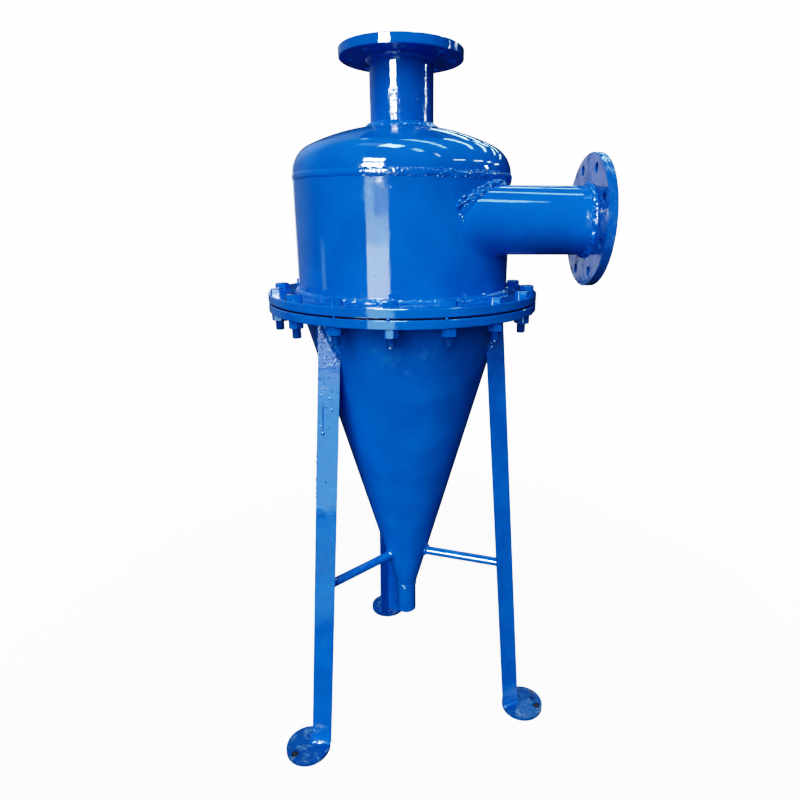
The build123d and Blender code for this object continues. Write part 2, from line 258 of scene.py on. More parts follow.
# Roof lights in the gloss, metres: place across the roof, width, start, end and brightness
ROOF_LIGHTS = (
    (-1.1, 1.0, -0.4, 0.9, 32),
    (-1.0, 0.8, -2.0, -0.5, 2.0),
    (-0.95, 0.55, 1.9, 3.1, 15),
    (1.45, 0.4, -3.3, 2.2, 11),
    (4.2, 0.4, -4.0, 1.6, 13),
    (8.3, 0.5, -6.6, -2.6, 12),
    (6.4, 0.5, -2.0, 1.2, 12),
    (11.5, 0.6, -9.0, -3.0, 11),
    (9.0, 0.5, -2.4, 0.7, 11),
    (12.5, 0.7, -3.0, 0.5, 11),
)
ROOF_Z = 6.0
ROOF_SLANT = radians(-45)
ROOF_COLOUR = "#C4F0FF"

# Tone of the photo: deep shadows and soft lights, as scene light in and out
TONE = ((0.01, 0.0045), (0.03, 0.018), (0.06, 0.046), (0.12, 0.118), (0.3, 0.305), (0.5, 0.5),
        (0.75, 0.64), (1.0, 0.74), (1.4, 0.87), (1.75, 0.96))

# White soft boxes that only fill the colours: the columns of GLOSS_LIGHTS without the colour
FILL_LIGHTS = {
    "fill_front": (-13, 42, 40, 40, 8.3),
    "fill_low": (-14, 12, 36, 22, 7.0),
    "fill_left": (-75, 15, 50, 50, 0.3),
    "fill_roof": (-60, 78, 50, 50, 2.0),
    "fill_floor": (-10, -40, 60, 40, 0.2),
    "fill_back": (186, 2, 44, 24, 8.0),
    "fill_right": (120, 4, 20, 40, 0.7),
}

# Soft round patches of the sky: degrees from the front towards the right, degrees up, angles
# inside which it is full and outside which it is gone, colour and strength
SKY_PATCHES = (
    (0, 90, 20, 80, "#5FB0FF", 0.5),
    (-135, 14, 10, 38, "#B8D0FF", 0.5),
    (5, 12, 15, 55, "#30A0FF", 0.35),
    (-150, 32, 4, 24, "#C4DCFF", 0.5),
)

# Distance of the soft boxes and height that they aim at, and the floor's radius, metres
BOX_DISTANCE = 8.0
AIM_Z = 1.1
FLOOR_R = 3.0

# Camera fitted to the photo: metres, then yaw, pitch and roll in degrees, lens in millimetres
CAMERA_PLACE = (-0.01895, -1.14056, 1.08374)
CAMERA_TURN = (3.693, -17.443, 0.265)
CAMERA_LENS = 25.785
CAMERA_SHIFT = (-0.0385, -0.0037)


def linear(hex_colour):
    """An sRGB hex colour as linear RGBA."""
    parts = [int(hex_colour[i:i + 2], 16) / 255 for i in (1, 3, 5)]
    return [c / 12.92 if c <= 0.04045 else ((c + 0.055) / 1.055) ** 2.4 for c in parts] + [1.0]


class Nodes:
    """Node tree of a material or world, with the kinds of node that most finishes use."""

    def __init__(self, owner, coordinates="Object"):
        owner.use_nodes = True
        self.owner = owner
        self.tree = owner.node_tree
        self.tree.nodes.clear()
        self.place = self.add("TexCoord", output=coordinates)

    def add(self, kind, sockets=None, output=0, **settings):
        """Adds a node and gives one output; a socket takes a constant or another output."""
        node = self.tree.nodes.new(f"ShaderNode{kind}")
        for name, value in settings.items():
            setattr(node, name, value)
        for key, value in (sockets or {}).items():
            if isinstance(value, bpy.types.NodeSocket):
                self.tree.links.new(value, node.inputs[key])
            else:
                node.inputs[key].default_value = value
        return node.outputs[output] if len(node.outputs) else None

    def noise(self, size, detail, roughness=0.5, at=None):
        """Noise texture with grains of a size in metres."""
        return self.add("TexNoise", {"Vector": at or self.place, "Scale": 1 / size,
                                     "Detail": detail, "Roughness": roughness})

    def step(self, value, low, high, start=0.0, end=1.0, **settings):
        """Maps a value between two limits on to another range."""
        return self.add("MapRange", {0: value, 1: low, 2: high, 3: start, 4: end}, **settings)

    def maths(self, operation, first, second):
        """Adds, subtracts or multiplies two values."""
        return self.add("Math", {0: first, 1: second}, operation=operation)

    def mix(self, share, under, over):
        """Lays one colour over another."""
        return self.add("Mix", {0: share, 6: under, 7: over}, 2, data_type="RGBA")

    def bump(self, height, distance, below=None):
        """Relief on top of other relief."""
        sockets = {"Height": height, "Distance": distance, "Strength": 1.0}
        if below:
            sockets["Normal"] = below
        return self.add("Bump", sockets)

    def surface(self, shader):
        """Ends a material with its shader."""
        self.add("OutputMaterial", {"Surface": shader})
        return self.owner


def enamel(name, peel_size=3.0, peel=1.0, wave_size=90.0, wave=1.0, nibs=1.0, rough_above=None,
           dull_above=0.0, haze=0.0, dust_and_sheen=0.0, stains_and_painted_shade=(), painted_shading=1.0):
    """Gloss alkyd enamel, sprayed on steel.

    Gives the eye a deep blue with mirror-like lights, their edges frayed where the orange peel
    is coarse, bent by the waves of the steel and pricked by dust nibs. Haze clouds the lights in
    upright streaks, a pale film of dust and painted sheen lies on the colour, and stains and dark
    rings of painted shade lie where they are put: centre, radius in metres, colour and strength. A
    factor scales both colours, painting light in above one and shade in below one. Other sizes are
    in millimetres.
    """
    made = bpy.data.materials.get(name)
    if made:
        return made
    finish = bpy.context.scene.hydrocyclone_enamel
    make = Nodes(bpy.data.materials.new(name))
    # Both colours are scaled by a factor: above one it is painted light, below one painted shade.
    thick, thin = ((*(c * painted_shading for c in paint), 1)
                   for paint in (finish.paint_deep, finish.paint_pale))
    colour = make.mix(make.step(make.noise(CLOUD_SIZE, 4.0), 0.35, 0.65), thick, thin)
    # A pale film: real dust, and on the foot plates, legs and flange back a painted sheen of
    # reflected light.
    if dust_and_sheen:
        film = make.step(make.noise(DUST_AND_SHEEN_SIZE, 6.0, 0.75), 0.5, 0.68, 0.0, dust_and_sheen)
        colour = make.mix(film, colour, linear("#7FA6CC"))
    # Patches over the colour: real stains and scuffs, and dark rings of painted shade round the
    # anchor holes.
    for centre, radius, tint, strength in stains_and_painted_shade:
        apart = make.add("VectorMath", {0: make.place, 1: centre}, 1, operation="DISTANCE")
        ragged = make.noise(0.4 * radius, 5.0, 0.7)
        spread = make.step(ragged, 0.3, 0.7, 1.4 * radius, 0.1 * radius)
        inside = make.maths("SUBTRACT", spread, apart)
        share = make.step(inside, 0.0, 0.8 * radius, 0.0, strength)
        colour = make.mix(share, colour, linear(tint))
    dusty = make.step(make.noise(GRIT_SIZE, 3.0), 0.45, 0.75, finish.roughness,
                      finish.roughness + 0.05)
    if haze:
        drawn = make.add("Mapping", {"Vector": make.place, "Scale": (1, 1, 0.3)})
        cloudy = make.noise(STREAK_SIZE, 5.0, at=drawn)
        dusty = make.maths("ADD", dusty, make.step(cloudy, 0.48, 0.68, 0.0, haze))
    waves = make.bump(make.noise(mm(wave_size), 1.0), finish.wave * wave)
    skin = make.noise(mm(peel_size), 2.0)
    coarse = make.step(make.noise(PATCH_SIZE, 2.0), 0.45, 0.65, 0.35, 2.2)
    mirror = 0.5
    if rough_above:
        low, high, most = rough_above
        height = make.add("SeparateXYZ", {0: make.place}, 2)
        upper = make.step(height, mm(low), mm(high), 1.0, most)
        coarse = make.maths("MULTIPLY", coarse, upper)
        dusty = make.maths("ADD", dusty, make.step(upper, 1.0, most, 0.0, dull_above))
        mirror = make.step(upper, 1.0, most, 0.5, 0.5 - 0.6 * dull_above)
    peeled = make.bump(make.maths("MULTIPLY", skin, coarse), finish.peel * peel, waves)
    cells = make.add("TexVoronoi", {"Vector": make.place, "Scale": 1 / NIB_SPACING})
    nibbed = make.bump(make.step(cells, 0.0, 0.07, 1.0, 0.0), finish.nib * nibs, peeled)
    return make.surface(make.add("BsdfPrincipled", {
        "Base Color": colour, "Roughness": dusty, "Normal": nibbed, "IOR": 1.5,
        "Specular IOR Level": mirror}))


def gasket_rubber():
    """Black sheet rubber with a cut edge: dull, with fine pits and a film of overspray."""
    make = Nodes(bpy.data.materials.new("cut_sheet_rubber"))
    pits = make.noise(mm(1.5), 3.0)
    film = make.step(make.noise(mm(25), 3.0), 0.4, 0.7)
    return make.surface(make.add("BsdfPrincipled", {
        "Base Color": make.mix(film, linear("#02040C"), linear("#031234")), "Roughness": 0.75,
        "IOR": 1.52, "Specular IOR Level": 0.03, "Normal": make.bump(pits, mm(0.15))}))


def hole_shade_and_dirt():
    """Near-black plugs in the anchor holes, painted shade with some brown dirt: dull and crumbly.
    """
    make = Nodes(bpy.data.materials.new("painted_hole_shade_and_dirt"))
    grain = make.noise(mm(3), 5.0)
    # From black to dark brown: mostly painted shade of the holes, with some real dirt.
    colour = make.mix(make.step(grain, 0.4, 0.65), linear("#010102"), linear("#0E0806"))
    return make.surface(make.add("BsdfPrincipled", {
        "Base Color": colour, "Roughness": 0.95, "Normal": make.bump(grain, mm(0.5))}))


# Settings that several finishes share
TURNED = {"peel_size": 2.2, "wave_size": 60.0, "wave": 0.35}
FORGED = {"peel_size": 3.0, "peel": 2.4, "wave_size": 8.0, "wave": 0.2, "nibs": 1.5}


def plate_enamel():
    """Enamel over rolled plate and pipe."""
    return enamel("gloss_enamel_on_rolled_plate", peel=1.5, haze=0.04)


def cone_enamel():
    """Enamel over the rolled cone, with pale scuffs just under the flange; its blue is painted
    lighter as painted light.
    """
    scuffs = []
    for azimuth, z, radius in ((-8, 850, 26), (9, 858, 22), (-17, 864, 16), (1, 824, 12)):
        centre = from_front(azimuth)[0] * cone_radius(mm(z)) + UP * mm(z)
        scuffs.append((centre, mm(radius), "#3F8BE0", 0.3))
    # A factor above one lightens the cone's blue: painted light.
    return enamel("gloss_enamel_on_rolled_cone", haze=0.04, stains_and_painted_shade=scuffs, painted_shading=1.18)


def pipe_enamel():
    """Enamel over the outlet pipe, blistered by heat down towards its weld, its blue painted darker
    as painted shade under the flange.
    """
    # A factor below one darkens the pipe's blue: painted shade under the flange.
    return enamel("gloss_enamel_on_pipe", peel_size=3.2, peel=1.0, rough_above=(1297, 1287, 14),
                  dull_above=0.03, painted_shading=0.82)


def turned_enamel():
    """Enamel over turned flanges: flatter, with the tool's finish under it."""
    return enamel("gloss_enamel_on_turned_steel", **TURNED)


def port_enamel():
    """Enamel over the turned outlet flange, its blue painted darker as painted shade."""
    # A factor below one darkens the flange's blue: painted shade.
    return enamel("gloss_enamel_on_port_flange", painted_shading=0.86, **TURNED)


def pitted_enamel():
    """Enamel over a rough-turned flange back, pitted, dusty with a painted sheen, and painted
    darker as painted shade.
    """
    # A factor below one darkens the flange's blue: painted shade; the pale film is dust and a
    # painted sheen.
    return enamel("gloss_enamel_on_pitted_steel", peel_size=4.5, peel=12.0, wave_size=22.0,
                  wave=0.5, nibs=2.0, dust_and_sheen=0.25, painted_shading=0.86)


def angle_enamel():
    """Enamel over hot-rolled angle: scale shows through, and it is coarse near the welds. Its blue
    is painted lighter as painted light, under a pale film of dust and painted sheen.
    """
    # A factor above one lightens the legs' blue: painted light.
    return enamel("gloss_enamel_on_rolled_angle", peel_size=5.0, peel=2.4, wave_size=45.0,
                  wave=0.5, nibs=2.0, rough_above=(755, 850, 8), dull_above=0.3, dust_and_sheen=0.07,
                  painted_shading=1.1)


def cut_plate_enamel():
    """Enamel over flame-cut foot plates, mottled by dirt and a painted sheen, its blue painted
    darker as painted shade, with dark rings of painted shade round the anchor holes.
    """
    stains_and_painted_shade = [((0.291, -0.086, mm(8)), mm(13), "#04060C", 1.0),
              ((0.294, -0.071, mm(8)), mm(15), "#5A4238", 0.85),
              # Dark rings round the anchor holes of the right and front left feet: painted shade.
              ((0.297, -0.1075, mm(8)), mm(15), "#060A14", 1.0),
              ((-0.2405, -0.2018, mm(8)), mm(14), "#080C18", 0.95)]
    # A factor below one darkens the plates' blue: painted shade; the pale film is dust and a
    # painted sheen.
    return enamel("gloss_enamel_on_cut_plate", peel_size=6.0, peel=6.0, wave_size=30.0, wave=0.8,
                  nibs=2.0, dust_and_sheen=0.6, stains_and_painted_shade=stains_and_painted_shade, painted_shading=0.7)


def weld_enamel():
    """Enamel that has run thick over weld beads."""
    return enamel("gloss_enamel_on_weld", peel_size=4.2, peel=9.0, wave_size=9.0, wave=0.8)


def drop_enamel():
    """Enamel drawn smooth over drops of spatter, each with its own sharp light."""
    return enamel("gloss_enamel_on_spatter", peel=0.3, wave=0.1, nibs=0.3)


def thread_shade_enamel():
    """Enamel in the threads under the nuts, painted dark as painted shade under the flange."""
    return enamel("painted_shade_on_threads", painted_shading=0.5, **FORGED)


def fastener_enamel():
    """Enamel over forged bolts and nuts."""
    return enamel("gloss_enamel_on_forged_steel", **FORGED)


def add_piece(name, mesh, material, nodes=()):
    """Makes an object of a finished bmesh, in place, on the one body."""
    data = bpy.data.meshes.new(name)
    mesh.to_mesh(data)
    mesh.free()
    data.polygons.foreach_set("use_smooth", [True] * len(data.polygons))
    data.materials.append(material)
    piece = bpy.data.objects.new(name, data)
    bpy.context.scene.collection.objects.link(piece)
    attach(piece, "root")
    if nodes:
        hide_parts(*nodes)
    return piece


def add_bead(name, beads, node):
    """Adds weld beads as one piece in the place of a CAD node."""
    add_piece(name, join_meshes(beads), weld_enamel(), [node])


def join_meshes(meshes):
    """One bmesh out of several, which are freed; a long list is joined in batches."""
    batch = 30
    while len(meshes) > batch:
        meshes = [join_meshes(meshes[n:n + batch]) for n in range(0, len(meshes), batch)]
    whole = bmesh.new()
    for mesh in meshes:
        data = bpy.data.meshes.new("joined")
        mesh.to_mesh(data)
        mesh.free()
        whole.from_mesh(data)
        bpy.data.meshes.remove(data)
    return whole


def spoke(turn):
    """Outward direction at an angle about the Z axis, and the level direction across it."""
    return Vector((cos(turn), sin(turn), 0)), Vector((-sin(turn), cos(turn), 0))


def from_front(azimuth):
    """Outward and level directions at degrees from the front towards the right."""
    return spoke(radians(azimuth - 90))


def straight_out(point):
    """Outward direction of an upright tube's wall at a point."""
    return Vector((point.x, point.y, 0)).normalized()


def fillet(point, wall_a, wall_b, size, bulge, legs=(1.0, 1.0), strength=1.0):
    """Weld section in the corner of two walls; legs and bulge are shares of its size."""
    lean = wall_a.dot(wall_b)
    reach_a = (wall_b - wall_a * lean).normalized() * size * legs[0]
    reach_b = (wall_a - wall_b * lean).normalized() * size * legs[1]
    return point, reach_a, reach_b, (wall_a + wall_b).normalized(), bulge * size, strength


def seam(point, normal, way, half_width, cap, strength=1.0):
    """Weld section over a butt seam in one wall."""
    return point, way * half_width, way * -half_width, normal, cap, strength


def extruded(ring, made):
    """The vertices that an extrusion made out of a ring's, in the same order."""
    fresh = {v for v in made if isinstance(v, bmesh.types.BMVert)}
    return [next(e.other_vert(v) for e in v.link_edges if e.other_vert(v) in fresh) for v in ring]


def lay_bead(stations, seed, closed=False, size=1.0, settle=None):
    """Weld bead through sections: crescents on slow lumps, between wandering toes.

    Settle may move a place on the bead, given the station's number and its share across.
    """
    weld = bpy.context.scene.hydrocyclone_weld
    count = len(stations)
    shift = Vector((seed * 3.7, seed * 1.3, seed * 2.1))
    lengths = [(stations[n][0] - stations[n - 1][0]).length for n in range(count)]
    pitch = weld.pitch * (0.5 + 0.5 * size)
    if closed:
        total = sum(lengths)
        pitch = total / round(total / pitch)
    bead = bmesh.new()
    ring = bmesh.ops.create_circle(bead, segments=SECTION + 1, radius=1.0)["verts"]
    travelled = 0.0
    for number, (point, reach_a, reach_b, outward, bulge, strength) in enumerate(stations):
        if number:
            travelled += lengths[number]
            sides = [e for v in ring for e in v.link_edges if e.other_vert(v) in ring]
            made = bmesh.ops.extrude_edge_only(bead, edges=list(dict.fromkeys(sides)))["geom"]
            ring = extruded(ring, made)
        stop = 1.0 if closed else drawn_in(number, count)
        drift = noise.noise(point / DRIFT_LENGTH + shift)
        rough = strength * size
        wander_a = 1 + 0.28 * strength * noise.noise(point / TOE_LENGTH + shift)
        wander_b = 1 + 0.28 * strength * noise.noise(point / TOE_LENGTH - shift)
        for step in range(SECTION):
            share = step / (SECTION - 1)
            arch = 4 * share * (1 - share)
            base = point + reach_a * (1 - share) * wander_a + reach_b * share * wander_b
            phase = travelled / pitch + 0.4 * (2 * share - 1) ** 2 + 1.4 * drift
            crescent = abs(sin(pi * phase)) - 0.6
            lump = noise.noise(base / weld.lump_length + shift)
            knot = max(0.0, noise.noise(base / KNOT_LENGTH - shift) - 0.15) * 1.6
            grain = noise.noise(base / GRAIN_LENGTH + shift)
            height = weld.ripple * crescent + weld.lump * (lump + knot) + GRAIN_HEIGHT * grain
            raised = (bulge + height * rough) * arch - TOE_DEPTH * (1 - arch)
            place = base + outward * raised
            if settle:
                place = settle(number, share, place)
            ring[step].co = point + (place - point) * stop
        ring[SECTION].co = point - outward * ROOT_DEPTH
    if closed:
        bmesh.ops.bridge_loops(bead, edges=[e for e in bead.edges if e.is_boundary])
    else:
        bmesh.ops.holes_fill(bead, edges=[e for e in bead.edges if e.is_boundary], sides=0)
    bmesh.ops.recalc_face_normals(bead, faces=bead.faces)
    return bead


def drawn_in(number, count, stop=4):
    """Share of a bead's full size near its two ends."""
    near = min(number, count - 1 - number)
    return sqrt(1 - (1 - min(near + 0.3, stop) / stop) ** 2)


def ring_points(radius, z, steps):
    """Outward direction and point at each step round a ring about the Z axis."""
    for step in range(steps):
        out = spoke(tau * step / steps)[0]
        yield out, out * radius + UP * z


def crown_height(radius):
    """Height of the head's outside at a distance from the axis."""
    knuckle_r = BARREL_R - HEAD_KNUCKLE
    centre_z = SEAM_Z + HEAD_SKIRT - sqrt((HEAD_CROWN - HEAD_KNUCKLE) ** 2 - knuckle_r ** 2)
    return centre_z + sqrt(HEAD_CROWN ** 2 - radius ** 2)


def cone_radius(z):
    """Outside radius of the cone at a height."""
    return UNDERFLOW_R + (z - CONE_TIP_Z) * CONE_SLOPE


def cone_normal(point):
    """Outward direction of the cone's wall at a point."""
    return (straight_out(point) - UP * CONE_SLOPE).normalized()


def fillet_ring(wall_r, plate_z, size, side, steps, seed, strength=0.75):
    """Weld bead in the corner of a tube and a plate about the Z axis."""
    stations = [fillet(point, out, UP * side, size, 0.12, strength=strength)
                for out, point in ring_points(wall_r, plate_z, steps)]
    return lay_bead(stations, seed, closed=True, size=size / mm(8))


def setback_ring(bore_r, end_z, size, side, steps, seed):
    """Weld bead inside a flange's bore, on the end of its tube."""
    stations = [fillet(point, -out, UP * side, size, 0.1, strength=0.5)
                for out, point in ring_points(bore_r, end_z, steps)]
    return lay_bead(stations, seed, closed=True, size=size / mm(8))


def seam_strength(point):
    """Roughness of the head seam: ground smooth on the left of the front, rough elsewhere."""
    azimuth = degrees(atan2(point.x, -point.y))
    return 0.08 if -150 < azimuth < -18 else 0.85


def smooth_share(value, low, high):
    """Rises softly from 0 to 1 between two values."""
    share = max(0.0, min(1.0, (value - low) / (high - low)))
    return share * share * (3 - 2 * share)


def fades(value, start, full, waning, gone):
    """Share that rises softly between two values and falls between two others."""
    return smooth_share(value, start, full) * (1 - smooth_share(value, waning, gone))


def leg_axes(azimuth):
    """Heel at the foot, and the directions along the leg and along its two flanges."""
    out, side = spoke(radians(azimuth))
    along = (UP - out * LEG_SLOPE).normalized()
    inward = (-out - UP * LEG_SLOPE).normalized()
    first = (inward + side).normalized()
    second = along.cross(first).normalized()
    return out * LEG_FOOT_R + UP * PLATE_TOP_Z, along, first, second


def leg_points(azimuth):
    """For each outer face of a leg, the face's direction and the points where it meets the cone."""
    heel, along, first, second = leg_axes(azimuth)
    return [(face, scribed_line(heel, along, flange))
            for flange, face in ((first, -second), (second, -first))]


def scribed_line(heel, along, flange, steps=44):
    """Points where one outer face of a leg meets the cone, from the top down to the toe."""
    points = []
    for step in range(steps + 1):
        start = heel + flange * LEG_WIDTH * step / steps
        low, high = mm(350), mm(960)
        for _ in range(40):
            middle = (low + high) / 2
            point = start + along * middle
            if hypot(point.x, point.y) > cone_radius(point.z):
                low = middle
            else:
                high = middle
        point = start + along * low
        if point.z < LEG_TOP_Z:
            points.append(point)
    return points


class HydrocyclonePaint(bpy.types.Operator):
    """Gives the CAD nodes their enamel and rubber"""

    bl_idname = "hydrocyclone.paint"
    bl_label = "Paint the steel"

    def execute(self, context):
        finishes = {
            "painted_plate": plate_enamel(),
            "painted_flange": turned_enamel(),
            "painted_frame": angle_enamel(),
            "painted_weld": weld_enamel(),
            "painted_fastener": fastener_enamel(),
            "gasket_rubber": gasket_rubber(),
        }
        nodes = frame["nodes"]
        for name, node in nodes.items():
            for slot in node.material_slots:
                key = slot.material.name.split(".")[0]
                if key not in finishes:
                    raise RuntimeError(f"{name} has an unknown finish {key}")
                slot.material = finishes[key]
        own = {"inlet_flange": pitted_enamel(), "outlet_flange": port_enamel(),
               "cone": cone_enamel(), "outlet_pipe": pipe_enamel()}
        for name in LEGS:
            own[f"foot_plate_{name}"] = cut_plate_enamel()
        for name, finish in own.items():
            nodes[name].material_slots[0].material = finish
        return {"FINISHED"}


class HydrocycloneRingWelds(bpy.types.Operator):
    """Lays the weld beads that run round pipes, barrel and cone"""

    bl_idname = "hydrocyclone.ring_welds"
    bl_label = "Ring welds"

    def execute(self, context):
        port_bore = PIPE_R + BORE_FIT
        body_bore = BARREL_R + BORE_FIT
        add_bead("outlet_flange_bead", [
            fillet_ring(PIPE_R, OUTLET_BACK_Z, PORT_WELD, -1, PORT_STEPS, 1),
            setback_ring(port_bore, OUTLET_END_Z, SETBACK_WELD, 1, BORE_STEPS, 2),
        ], "outlet_flange_weld")
        inlet = [
            fillet_ring(PIPE_R, INLET_BACK_X, PORT_WELD, -1, PORT_STEPS, 3, 2.0),
            setback_ring(port_bore, INLET_END_X, SETBACK_WELD, 1, BORE_STEPS, 4),
        ]
        turn = Matrix.Translation((0, INLET_Y, INLET_Z)) @ Matrix.Rotation(pi / 2, 4, "Y")
        for bead in inlet:
            bmesh.ops.transform(bead, matrix=turn, verts=bead.verts)
        add_bead("inlet_flange_bead", inlet, "inlet_flange_weld")

        stations = [fillet(point, out, (out * PIPE_R / HEAD_CROWN + UP).normalized(),
                           OUTLET_WELD, 0.12, (1.0, 1.3))
                    for out, point in ring_points(PIPE_R, crown_height(PIPE_R), CROWN_STEPS)]
        add_bead("outlet_pipe_bead", [lay_bead(stations, 5, closed=True)], "outlet_pipe_weld")

        stations = [seam(point, out, UP, SEAM_HALF_WIDTH, SEAM_CAP, seam_strength(point))
                    for out, point in ring_points(BARREL_R, SEAM_Z, BODY_STEPS)]
        add_bead("head_seam_bead", [lay_bead(stations, 6, closed=True, size=0.7)],
                 "head_seam_weld")

        add_bead("upper_flange_bead", [
            fillet_ring(BARREL_R, UPPER_BACK_Z, BODY_WELD, 1, BODY_STEPS, 7),
            setback_ring(body_bore, BARREL_END_Z, UPPER_SETBACK, -1, PORT_STEPS, 8),
        ], "upper_flange_weld")
        add_bead("lower_flange_bead", [
            fillet_ring(cone_radius(LOWER_BACK_Z) - CONE_BEAD_DEPTH, LOWER_BACK_Z, BODY_WELD, -1,
                        BODY_STEPS, 9),
            setback_ring(body_bore, CONE_TOP_Z, LOWER_SETBACK, 1, PORT_STEPS, 10),
        ], "lower_flange_weld")

        stations = [seam(point, out, UP, UNDERFLOW_HALF_WIDTH, UNDERFLOW_CAP, 0.4)
                    for out, point in ring_points(UNDERFLOW_R, CONE_TIP_Z, 110)]
        add_bead("underflow_bead", [lay_bead(stations, 11, closed=True)], "underflow_weld")
        return {"FINISHED"}


class HydrocycloneInletWeld(bpy.types.Operator):
    """Lays the bead along the line where the inlet pipe leaves the barrel"""

    bl_idname = "hydrocyclone.inlet_weld"
    bl_label = "Inlet weld"

    def execute(self, context):
        stations = []
        blends = []
        count = 360
        for step in range(count):
            turned = 360 * step / count
            turn = radians(turned)
            y = INLET_Y + PIPE_R * cos(turn)
            z = INLET_Z + PIPE_R * sin(turn)
            point = Vector((sqrt(BARREL_R ** 2 - y ** 2), y, z))
            wall = straight_out(point)
            pipe = Vector((0, cos(turn), sin(turn)))
            heavy = fades(turned, *HEAVY_PART)
            dressed = fades(turned, *DRESSED_PART)
            wide = fades(turned, *WIDE_PART)
            legs = (1 + 0.2 * heavy + 0.9 * wide, 1 + 0.1 * heavy + 0.9 * wide)
            strength = 1 + 0.7 * heavy - 0.97 * dressed
            stations.append(fillet(point, wall, pipe, INLET_WELD, 0.14 + 0.08 * heavy, legs,
                                   strength))
            blends.append((dressed, 0.85 * INLET_WELD * legs[0] * sin(wall.angle(pipe))))

        def settle(number, share, place):
            """Sinks the toes in, and lets the dressed part run smoothly into barrel and pipe."""
            dressed, reach = blends[number]
            outward = stations[number][3]
            toe = abs(2 * share - 1) ** 3
            proud = min(hypot(place.x, place.y) - BARREL_R,
                        hypot(place.y - INLET_Y, place.z - INLET_Z) - PIPE_R)
            place = place - outward * (proud + TOE_DEPTH) * toe
            smooth = place.copy()
            for _ in range(12):
                shell = hypot(smooth.x, smooth.y) - BARREL_R
                tube = hypot(smooth.y - INLET_Y, smooth.z - INLET_Z) - PIPE_R
                near = max(reach - abs(shell - tube), 0.0) / reach
                smooth -= outward * (min(shell, tube) - near * near * reach / 4)
            smooth -= outward * mm(0.12) * abs(2 * share - 1) ** 8
            return place.lerp(smooth, dressed)

        add_bead("inlet_pipe_bead", [lay_bead(stations, 12, closed=True, settle=settle)],
                 "inlet_pipe_weld")
        return {"FINISHED"}


class HydrocycloneLegWelds(bpy.types.Operator):
    """Lays the beads where the legs are scribed to the cone"""

    bl_idname = "hydrocyclone.leg_welds"
    bl_label = "Leg welds"

    def execute(self, context):
        for seed, (name, azimuth) in enumerate(LEGS.items()):
            beads = []
            for face, points in leg_points(azimuth):
                stations = [fillet(point, cone_normal(point), face, LEG_WELD, 0.16, (1.3, 1.0), 1.2)
                            for point in points]
                beads.append(lay_bead(stations, 20 + seed + len(beads) * 5, size=0.85))
            add_bead(f"leg_bead_{name}", beads, f"leg_weld_{name}")
        return {"FINISHED"}


class HydrocycloneFootWelds(bpy.types.Operator):
    """Lays the beads that hold the legs on their foot plates"""

    bl_idname = "hydrocyclone.foot_welds"
    bl_label = "Foot welds"

    def execute(self, context):
        for seed, (name, azimuth) in enumerate(LEGS.items()):
            heel, along, first, second = leg_axes(azimuth)
            line = []
            steps = 26
            for flange, face, order in ((first, -second, -1), (second, -first, 1)):
                run = flange - along * flange.z / along.z
                places = [LEG_WIDTH * 0.99 * n / steps for n in range(1, steps + 1)]
                line += [(heel + run * place, straight_out(face)) for place in places[::order]]
            stations = [fillet(point, face, UP, FOOT_WELD, 0.14) for point, face in line]
            add_bead(f"foot_bead_{name}", [lay_bead(stations, 40 + seed, size=0.8)],
                     f"foot_weld_{name}")
        return {"FINISHED"}


class HydrocycloneBraceWelds(bpy.types.Operator):
    """Lays the rings of weld round both ends of the braces"""

    bl_idname = "hydrocyclone.brace_welds"
    bl_label = "Brace welds"

    def execute(self, context):
        heel_r = LEG_FOOT_R - (BRACE_Z - PLATE_TOP_Z) * LEG_SLOPE
        for seed, (name, azimuth) in enumerate(LEGS.items()):
            out, side = spoke(radians(azimuth))
            beads = []
            for at_cone in (True, False):
                stations = []
                for step in range(BRACE_STEPS):
                    angle = tau * step / BRACE_STEPS
                    bar = side * cos(angle) + UP * sin(angle)
                    across = BRACE_R * cos(angle)
                    z = BRACE_Z + BRACE_R * sin(angle)
                    if at_cone:
                        reach = sqrt(cone_radius(z) ** 2 - across ** 2)
                    else:
                        heel_at = heel_r - (z - BRACE_Z) * LEG_SLOPE
                        reach = heel_at - sqrt(2) * LEG_THICKNESS - abs(across)
                    point = out * reach + side * across + UP * z
                    lean = max(-1.0, min(1.0, across / (0.3 * BRACE_R)))
                    wall = cone_normal(point) if at_cone else (-out - side * lean).normalized()
                    stations.append(fillet(point, wall, bar, BRACE_WELD, 0.14))
                beads.append(lay_bead(stations, 60 + seed + len(beads) * 7, closed=True, size=0.6))
            add_bead(f"brace_bead_{name}", beads, f"brace_weld_{name}")
        return {"FINISHED"}


def hexagon_body(low_z, high_z, chamfers, turn):
    """Hexagon on the Z axis, its corners turned off by a cone at one end or both."""
    slope = tan(radians(30))
    chamfer_r = HEX_HALF - mm(0.3)
    count = 72
    rings = []
    for z, chamfered, side in ((low_z, chamfers[0], -1), (high_z, chamfers[1], 1)):
        outer = []
        inner = []
        for step in range(count):
            angle = tau * step / count
            sides = [max(0.0, cos(angle - tau * k / 6)) for k in range(6)]
            radius = HEX_HALF / sum(s ** 60 for s in sides) ** (1 / 60)
            drop = max(0.0, radius - chamfer_r) * slope if chamfered else 0.0
            outer.append((radius, angle + turn, z - side * drop))
            inner.append((min(radius, chamfer_r) - mm(0.35), angle + turn, z))
        rings += [outer, inner] if rings else [inner, outer]
    body = bmesh.new()
    current = bmesh.ops.create_circle(body, cap_ends=True, segments=count, radius=1.0)["verts"]
    top = body.faces[:]
    for number, ring in enumerate(rings):
        if number:
            made = bmesh.ops.extrude_face_region(body, geom=top)["geom"]
            top = [f for f in made if isinstance(f, bmesh.types.BMFace)]
            current = extruded(current, made)
        for vert, (radius, angle, z) in zip(current, ring):
            vert.co = (radius * cos(angle), radius * sin(angle), z)
    bmesh.ops.recalc_face_normals(body, faces=body.faces)
    return body


